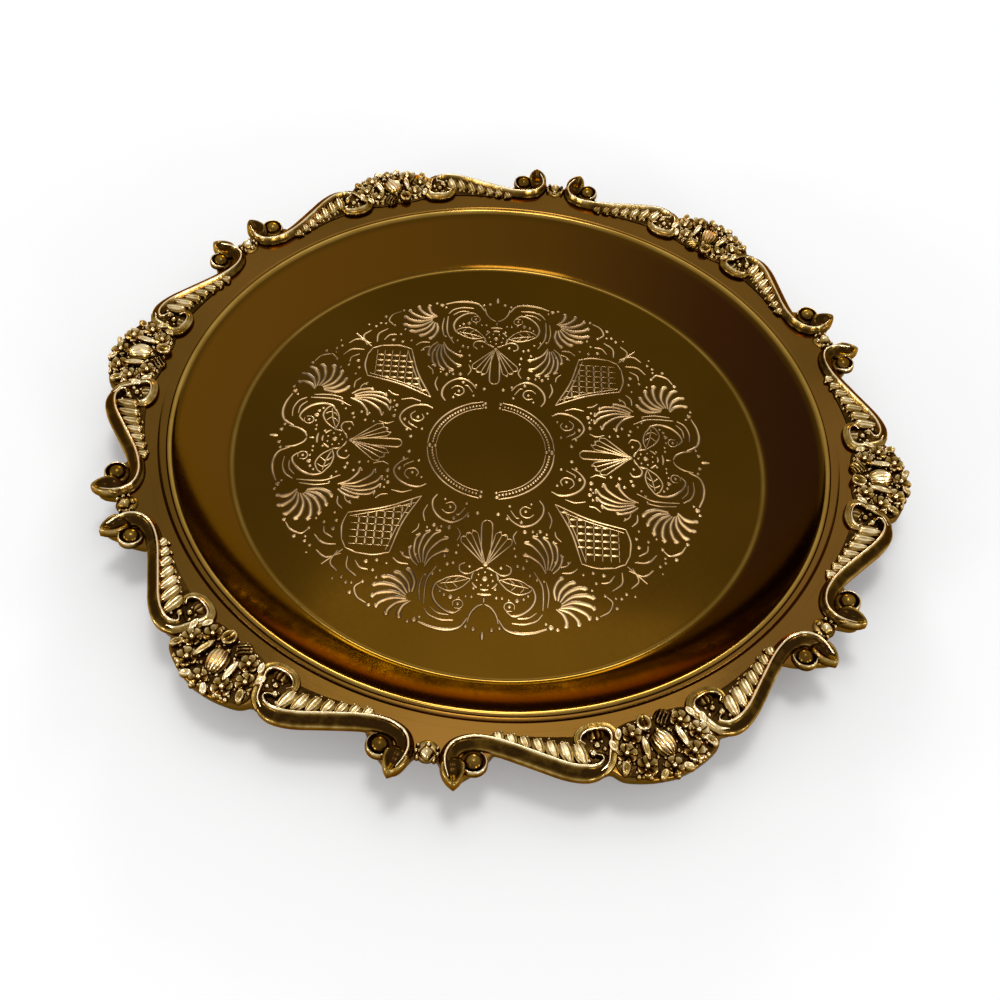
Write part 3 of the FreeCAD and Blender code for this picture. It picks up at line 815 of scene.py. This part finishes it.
def side_motif():
    """What is chased on one side of an axis: strokes, dots, two leaves and half the fan."""
    shells = [stroke(points, width) for width, points in side_strokes]
    shells += [dot((x, y), radius) for x, y, radius in side_dots]
    shells.append(chased_arc(curl_place, curl_radius, 60, 390, curl_width))
    shells += leaf_ribs(outer_leaf_foot, outer_leaf_tips, outer_leaf_bow_share, outer_leaf_rib)
    shells += leaf_ribs(inner_leaf_foot, inner_leaf_tips, inner_leaf_bow_share, inner_leaf_rib)
    apex = np.array(fan_apex, float)
    tips = [apex + polar(reach, degrees - 90) for degrees, reach in fan_spread]
    for tip in tips:
        shells.append(stroke([apex + 0.1 * (tip - apex), apex + 0.6 * (tip - apex), tip], fan_rib))
    for first, second in zip(tips, tips[1:]):
        middle = (first + second) / 2
        shells.append(stroke([first, middle + 0.09 * (middle - apex), second], fan_rim))
    return shells


def axis_motif():
    """What is chased on an axis itself: the crown, the flower and the dot at the fan's apex."""
    shells = [stroke(points, width) for width, points in axis_strokes]
    shells.append(dot(flower_place, flower_dot))
    for petal in range(flower_petals):
        middle = 90 + petal * 360 / flower_petals
        shells.append(chased_arc(flower_place, petal_radius, middle - petal_spread, middle + petal_spread,
                                 petal_width))
        shells.append(dot(np.asarray(flower_place) + polar(stamen_radius, middle + stamen_turn), stamen_dot))
    shells.append(dot(fan_foot, fan_foot_dot))
    return shells


def inside_trellis(points):
    """Which points lie in the trellis field by its margin: within the flanks that leave its corner
    at equal angles to the diagonal, and short of its outer sides."""
    corner, end, turn = np.array([trellis_corner, trellis_flank_end, trellis_turn])
    flank = (end - corner) / np.linalg.norm(end - corner)
    normal = np.array([flank[1], -flank[0]])
    first = (points - corner) @ normal > trellis_margin
    second = (points[:, ::-1] - corner) @ normal > trellis_margin
    below = points.max(axis=1) < end[1] - trellis_margin * 0.8
    return first & second & below & (points.sum(axis=1) < turn.sum() - trellis_margin)


def trellis_motif():
    """The trellis on the diagonal between two axes: a double border, dashes in rows, thin uprights
    between them, and sprigs and dots outside it."""
    corner, end, turn = np.array([trellis_corner, trellis_flank_end, trellis_turn])
    middle = (corner + end) / 2 + trellis_bow
    inset = np.array(trellis_inset)
    lines = [
        (0.9, [corner, middle, end]),
        (0.6, [corner + 2 * inset, middle + inset, end + inset * (1, -1)]),
        (0.9, [end, end + trellis_shoulder, turn]),
        (0.8, [turn, trellis_tip]),
    ] + sprig_strokes
    shells = []
    for flip in (1, -1):
        shells += [stroke(np.array(points)[:, ::flip], width) for width, points in lines]
        shells += [dot((x, y)[::flip], radius) for x, y, radius in sprig_dots]
    shells.append(stroke(trellis_stem, trellis_stem_width))
    steps = np.arange(*trellis_span, trellis_pitch)
    x, y = np.meshgrid(steps, steps)
    nodes = np.stack([x.ravel(), y.ravel()], axis=1)
    for node in nodes[inside_trellis(nodes)]:
        shells.append(stroke([node - (dash_half, 0), node, node + (dash_half, 0)], dash_width))
    posts = nodes + trellis_pitch / 2
    for post in posts[inside_trellis(posts)]:
        shells.append(stroke([post - (0, post_half), post, post + (0, post_half)], post_width))
    return shells


def ring_motif(start, end):
    """A quarter of the double ring round the plain middle: an outer line, a thin inner line, the
    row of beads between them and two dots at each end."""
    middle = (0, 0)
    shells = [chased_arc(middle, ring_outer, start, end, ring_outer_width),
              chased_arc(middle, ring_inner, start + 1, end - 1, ring_inner_width)]
    for degrees in np.arange(start + 1, end - 0.5, ring_row_step):
        shells.append(dot(polar(ring_row, degrees), ring_row_bead))
    for degrees in (start - 1.5, end + 1.5):
        shells += [dot(polar(reach, degrees), radius) for reach, radius in ring_end_dots]
    return shells


def placed(shells, degrees):
    """Shells drawn beside and along an upright axis, turned to its direction and set on the floor
    at the chasing's own middle."""
    shift = np.array([*chasing_offset, 0])
    return [(vertices + shift, *rest) for vertices, *rest in turned(shells, degrees - 90)]


def linear(red, green, blue):
    """A colour of 0 to 255 as the shader's linear values."""
    shares = np.array([red, green, blue]) / 255
    values = np.where(shares < 0.04045, shares / 12.92, ((shares + 0.055) / 1.055) ** 2.4)
    return (float(values[0]), float(values[1]), float(values[2]), 1.0)


class Finish:
    """A small helper that adds nodes to one material."""

    def __init__(self, name):
        self.material = bpy.data.materials.new(name)
        self.material.use_nodes = True
        self.tree = self.material.node_tree
        self.shader = self.tree.nodes["Principled BSDF"]
        self.place = self.add("TexCoord").outputs["Object"]

    def add(self, kind):
        """A new node."""
        return self.tree.nodes.new("ShaderNode" + kind)

    def link(self, output, entry):
        """A link from one node's output to another's input."""
        self.tree.links.new(output, entry)

    def noise(self, scale, detail):
        """Noise on the object's own coordinates, with features of about one over scale metres."""
        texture = self.add("TexNoise")
        texture.inputs["Scale"].default_value = scale
        texture.inputs["Detail"].default_value = detail
        self.link(self.place, texture.inputs["Vector"])
        return texture.outputs["Fac"]

    def away(self):
        """The distance from the plate's axis."""
        flat = self.add("VectorMath")
        flat.operation = "MULTIPLY"
        flat.inputs[1].default_value = (1, 1, 0)
        self.link(self.place, flat.inputs[0])
        away = self.add("VectorMath")
        away.operation = "LENGTH"
        self.link(flat.outputs["Vector"], away.inputs[0])
        return away.outputs["Value"]

    def across(self):
        """The place across the plate, along its X axis."""
        node = self.add("SeparateXYZ")
        self.link(self.place, node.inputs[0])
        return node.outputs["X"]

    def rings(self, scale):
        """Noise along the distance from the plate's axis, so that it runs in rings."""
        texture = self.add("TexNoise")
        texture.noise_dimensions = "1D"
        texture.inputs["Scale"].default_value = scale
        self.link(self.away(), texture.inputs["W"])
        return texture.outputs["Fac"]

    def relief(self):
        """The share of relief that each vertex carries."""
        node = self.add("Attribute")
        node.attribute_name = "relief"
        return node.outputs["Fac"]

    def sum(self, first, second, weight):
        """The first value plus the second, taken about its middle, times a weight."""
        node = self.add("Math")
        node.operation = "MULTIPLY_ADD"
        node.inputs[1].default_value = weight
        self.link(second, node.inputs[0])
        self.link(first, node.inputs[2])
        shift = self.add("Math")
        shift.operation = "SUBTRACT"
        shift.inputs[1].default_value = weight / 2
        self.link(node.outputs[0], shift.inputs[0])
        return shift.outputs[0]

    def ramp(self, value, stops):
        """A ramp over a value, of shader colours."""
        node = self.add("ValToRGB")
        elements = node.color_ramp.elements
        while len(elements) < len(stops):
            elements.new(0.5)
        for element, (position, colour) in zip(elements, stops):
            element.position = position
            element.color = colour
        self.link(value, node.inputs["Fac"])
        return node.outputs["Color"]

    def tones(self, value, stops):
        """A colour over a value: each stop is a position, and a colour of 0 to 255."""
        return self.ramp(value, [(position, linear(*colour)) for position, *colour in stops])

    def mask(self, value, stops):
        """A share over a value: each stop is a position and a share."""
        return self.ramp(value, [(position, (share, share, share, 1.0)) for position, share in stops])

    def mix(self, share, first, second):
        """The first colour going over to the second by a share."""
        node = self.add("Mix")
        node.data_type = "RGBA"
        self.link(share, node.inputs[0])
        self.link(first, node.inputs[6])
        self.link(second, node.inputs[7])
        return node.outputs[2]

    def span(self, value, start, end, low=0.0, high=1.0):
        """A value carried from one span to another and held at both ends."""
        node = self.add("MapRange")
        node.inputs["From Min"].default_value = start
        node.inputs["From Max"].default_value = end
        node.inputs["To Min"].default_value = low
        node.inputs["To Max"].default_value = high
        self.link(value, node.inputs["Value"])
        return node.outputs["Result"]

    def roughness(self, value, low, high):
        """Roughness between two values as the noise goes from 0.3 to 0.7."""
        self.link(self.span(value, 0.3, 0.7, low, high), self.shader.inputs["Roughness"])

    def bump(self, value, height):
        """A bump of the given height in metres, over any bump before it."""
        node = self.add("Bump")
        node.inputs["Distance"].default_value = height
        self.link(value, node.inputs["Height"])
        normal = self.shader.inputs["Normal"]
        if normal.links:
            self.link(normal.links[0].from_socket, node.inputs["Normal"])
        self.link(node.outputs["Normal"], normal)

    def metal(self, colour, grazing_tint=(1.0, 1.0, 1.0, 1.0), lacquer=0.0):
        """Bare metal of a colour, its tint at a grazing angle, and how much clear lacquer is on it."""
        self.link(colour, self.shader.inputs["Base Color"])
        self.shader.inputs["Metallic"].default_value = 1.0
        self.shader.inputs["Specular Tint"].default_value = grazing_tint
        self.shader.inputs["Coat Weight"].default_value = lacquer
        self.shader.inputs["Coat Roughness"].default_value = 0.12
        return self.material


def polished_gold():
    """Spun and polished sheet: deep gold with a slow drift of tone, fine rings left by the
    spinning and long waves. The wall goes from pale gold on its left to brown on its right, a
    painted reflection: painted light on its left side and painted shade on its right. The flange
    is paler, a painted sheen, and the wall's foot and the bead carry painted highlight lines."""
    finish = Finish("polished_gold")
    away = finish.away()
    gold = finish.tones(finish.noise(11, 3), [(0.3, 60, 40, 4), (0.7, 73, 49, 8)])
    # Painted reflection: the wall is painted pale gold on its left and brown on its right, painted light on
    # one side and painted shade on the other
    wall = finish.tones(finish.span(finish.across(), -wall_radius * mm, wall_radius * mm),
                        [(0.0, 94, 61, 12), (0.5, 76, 49, 9), (0.8, 52, 28, 8), (1.0, 40, 19, 6)])
    on_wall = finish.mask(finish.span(away, well_radius * mm, wall_radius * mm),
                          [(0.0, 0.0), (0.10, 1.0), (0.90, 1.0), (1.0, 0.0)])
    # Painted sheen: from the bead outwards the sheet is painted paler than the floor
    flange_sheen = finish.tones(finish.noise(16, 3), [(0.3, 88, 62, 20), (0.7, 108, 76, 30)])
    on_flange = finish.span(away, wall_radius * mm, bead_radius * mm)
    # Painted highlight lines: a bright tone painted in rings at the wall's foot and over the bead
    start, end = well_radius - 3, bead_radius + 3
    highlight_radii = [(well_radius - 1.0, 0.0), (well_radius - 0.1, 0.36), (well_radius + 0.7, 0.0),
             (wall_radius - 0.3, 0.0), (wall_radius + 0.6, 1.0), (bead_radius - 0.2, 0.0)]
    wear_and_painted_light = finish.mask(finish.span(away, start * mm, end * mm),
                       [((radius - start) / (end - start), share) for radius, share in highlight_radii])
    painted_highlight = finish.tones(finish.noise(60, 3), [(0.3, 140, 108, 44), (0.7, 172, 138, 66)])
    tone = finish.mix(on_flange, finish.mix(on_wall, gold, wall), flange_sheen)
    finish.roughness(finish.noise(700, 3), 0.10, 0.15)
    finish.bump(finish.noise(24, 2), 0.00010)
    finish.bump(finish.rings(2200), 0.000003)
    return finish.metal(finish.mix(wear_and_painted_light, tone, painted_highlight), grazing_tint=(0.62, 0.53, 0.42, 1.0))


def cast_gold():
    """Cast and gilt relief, toned by each vertex's tone share: dark in the hollows, partly patina
    and partly painted shade, and pale on the crowns, partly wear and partly painted highlight, but
    not everywhere alike, with a fine skin."""
    finish = Finish("cast_gold")
    height = finish.sum(finish.sum(finish.relief(), finish.noise(520, 4), 0.55), finish.noise(150, 2), 0.8)
    # The darkest stops are patina and painted shade, the palest are wear and a painted highlight
    tone = finish.tones(height, [(0.10, 44, 28, 8), (0.38, 82, 59, 18), (0.62, 116, 91, 40),
                                 (0.86, 160, 134, 84), (1.0, 212, 192, 150)])
    finish.roughness(finish.noise(700, 3), 0.16, 0.26)
    finish.bump(finish.noise(1100, 3), 0.00007)
    return finish.metal(tone, grazing_tint=(1.0, 0.60, 0.30, 1.0))


def chased_gold():
    """Chased strokes: dark at their sunk feet, painted shade, and pale on their crowns, partly wear
    and partly painted highlight, more in some places of the field than in others, and a little rough."""
    finish = Finish("chased_gold")
    height = finish.sum(finish.sum(finish.relief(), finish.noise(260, 3), 0.5), finish.noise(42, 2), 1.5)
    # Painted shade at the strokes' feet and a painted highlight on their crowns, with some wear
    tone = finish.tones(height, [(0.05, 46, 30, 8), (0.50, 84, 60, 26), (0.80, 132, 102, 58),
                                 (1.0, 196, 164, 116)])
    finish.roughness(finish.noise(900, 2), 0.20, 0.30)
    return finish.metal(tone, lacquer=0.2)


def set_pose(holder, right, above, back, spot):
    """Place a lamp or the camera by its three axes and its spot, which are the matrix's columns."""
    rows = np.vstack([np.stack([right, above, back, spot], axis=1), [0, 0, 0, 1]])
    holder.matrix_world = Matrix(rows.tolist())


def area_lamp(name, azimuth, elevation, size, radiance):
    """A square lamp at an azimuth from +X and an elevation, turned to the plate. Its power is its
    radiance times pi times its area."""
    lamp = bpy.data.lights.new(name, "AREA")
    lamp.size = size
    lamp.energy = radiance * math.pi * size ** 2
    holder = bpy.data.objects.new(name, lamp)
    bpy.context.scene.collection.objects.link(holder)
    around, up = math.radians(azimuth), math.radians(elevation)
    back = np.array([math.cos(around) * math.cos(up), math.sin(around) * math.cos(up), math.sin(up)])
    right = np.cross([0, 0, 1], back)
    right = right / np.linalg.norm(right)
    set_pose(holder, right, np.cross(back, right), back, back * lamp_distance)


# Studio lamps: azimuth and elevation in degrees, side in metres, and radiance
lamp_distance = 1.1
world_light = 0.54
lamps = [
    ("overhead_softbox", 92, 72, 0.50, 1.40),
    ("top_lamp", 100, 87, 0.24, 14.0),
    ("back_lamp", 96, 16, 0.24, 20.0),
    ("left_lamp", 203, 9, 0.20, 22.0),
    ("right_lamp", -23, 9, 0.20, 22.0),
    ("front_left_lamp", -125, 12, 0.20, 22.0),
    ("front_right_lamp", -55, 12, 0.20, 22.0),
]


def studio():
    """A pale floor, soft lamps and a world that is white to the camera and to reflections."""
    bpy.ops.mesh.primitive_circle_add(vertices=96, radius=6, fill_type="NGON", location=(0, 0, 0))
    floor = bpy.context.object
    floor.name = "studio_floor"
    paper = Finish("studio_paper")
    paper.shader.inputs["Base Color"].default_value = (0.95, 0.95, 0.95, 1)
    paper.shader.inputs["Roughness"].default_value = 0.9
    paper.shader.inputs["Specular IOR Level"].default_value = 0.1
    floor.data.materials.append(paper.material)
    for lamp in lamps:
        area_lamp(*lamp)
    world = bpy.data.worlds.new("studio_world")
    bpy.context.scene.world = world
    world.use_nodes = True
    nodes, link = world.node_tree.nodes, world.node_tree.links.new
    nodes.clear()
    path = nodes.new("ShaderNodeLightPath")
    seen = path.outputs["Is Camera Ray"]
    for kind in ("Is Glossy Ray", "Is Transmission Ray"):
        either = nodes.new("ShaderNodeMath")
        either.operation = "MAXIMUM"
        link(seen, either.inputs[0])
        link(path.outputs[kind], either.inputs[1])
        seen = either.outputs[0]
    mix = nodes.new("ShaderNodeMixShader")
    link(seen, mix.inputs[0])
    for entry, strength in ((1, world_light), (2, 1.0)):
        sky = nodes.new("ShaderNodeBackground")
        sky.inputs["Color"].default_value = (1, 1, 1, 1)
        sky.inputs["Strength"].default_value = strength
        link(sky.outputs[0], mix.inputs[entry])
    output = nodes.new("ShaderNodeOutputWorld")
    link(mix.outputs[0], output.inputs["Surface"])


def camera():
    """The photograph's view: turned round the plate, raised, and rolled a little. It looks at a
    place on the well's floor."""
    elevation, roll, turn = math.radians(52.29), math.radians(5.93), math.radians(5.02)
    distance, lens, sensor = 0.3325, 40.85, 36
    target = np.array([0.0015, -0.0204, 0.0])
    side = np.array([1.0, 0.0, 0.0])
    back = np.array([0.0, -math.cos(elevation), math.sin(elevation)])
    up = np.cross(back, side)
    right = math.cos(roll) * side + math.sin(roll) * up
    above = math.cos(roll) * up - math.sin(roll) * side
    spin = np.array([[math.cos(turn), -math.sin(turn), 0], [math.sin(turn), math.cos(turn), 0], [0, 0, 1]])
    right, above, back, spot = (spin @ vector for vector in (right, above, back, target + back * distance))
    data = bpy.data.cameras.new("camera")
    data.lens = lens
    data.sensor_width = sensor
    data.clip_start = 0.01
    holder = bpy.data.objects.new("camera", data)
    bpy.context.scene.collection.objects.link(holder)
    set_pose(holder, right, above, back, spot + [0, 0, sheet * mm])
    bpy.context.scene.camera = holder


def dress_plate():
    """Every piece of the plate: the dish, a set of cast pieces for each lobe, and the chased motifs
    in four quarters."""
    polished, cast, chased = polished_gold(), cast_gold(), chased_gold()
    make_piece("dish_body", [dish_shell()], polished, "dish")
    scroll, garland = scroll_shells(), garland_shells()
    sets = {
        "border_section": ([border_section_shell()], polished, "border_gold"),
        "scroll_left": (scroll, cast, "ornament_gold"),
        "scroll_right": (mirrored(scroll), cast, "ornament_gold"),
        "garland_left": (garland, cast, "ornament_gold"),
        "garland_right": (mirrored(garland), cast, "ornament_gold"),
        "flower_cluster": (cluster_shells(), cast, "ornament_gold"),
        "junction_rosette": (rosette_shells(), cast, "ornament_gold"),
    }
    for name, (shells, finish, slot) in sets.items():
        for lobe in range(lobes):
            node = name + "_" + str(lobe + 1)
            make_piece(node + "_cast", turned(shells, lobe * 2 * half_lobe), finish, node)
    upright = (-1, 1, 1)
    side = side_motif()
    axis = side + mirrored(side, upright) + axis_motif()
    trellis = mirrored(trellis_motif(), upright)
    for quarter, gap in enumerate(ring_gaps):
        motifs = {"chased_axis_": axis, "chased_trellis_": trellis, "chased_ring_": ring_motif(*gap)}
        for name, shells in motifs.items():
            motif = placed(shells, chasing_turn + 90 * quarter)
            make_piece(name + str(quarter + 1), motif, chased)


dress_plate()
studio()
camera()
bpy.context.scene.view_settings.view_transform = "Standard"
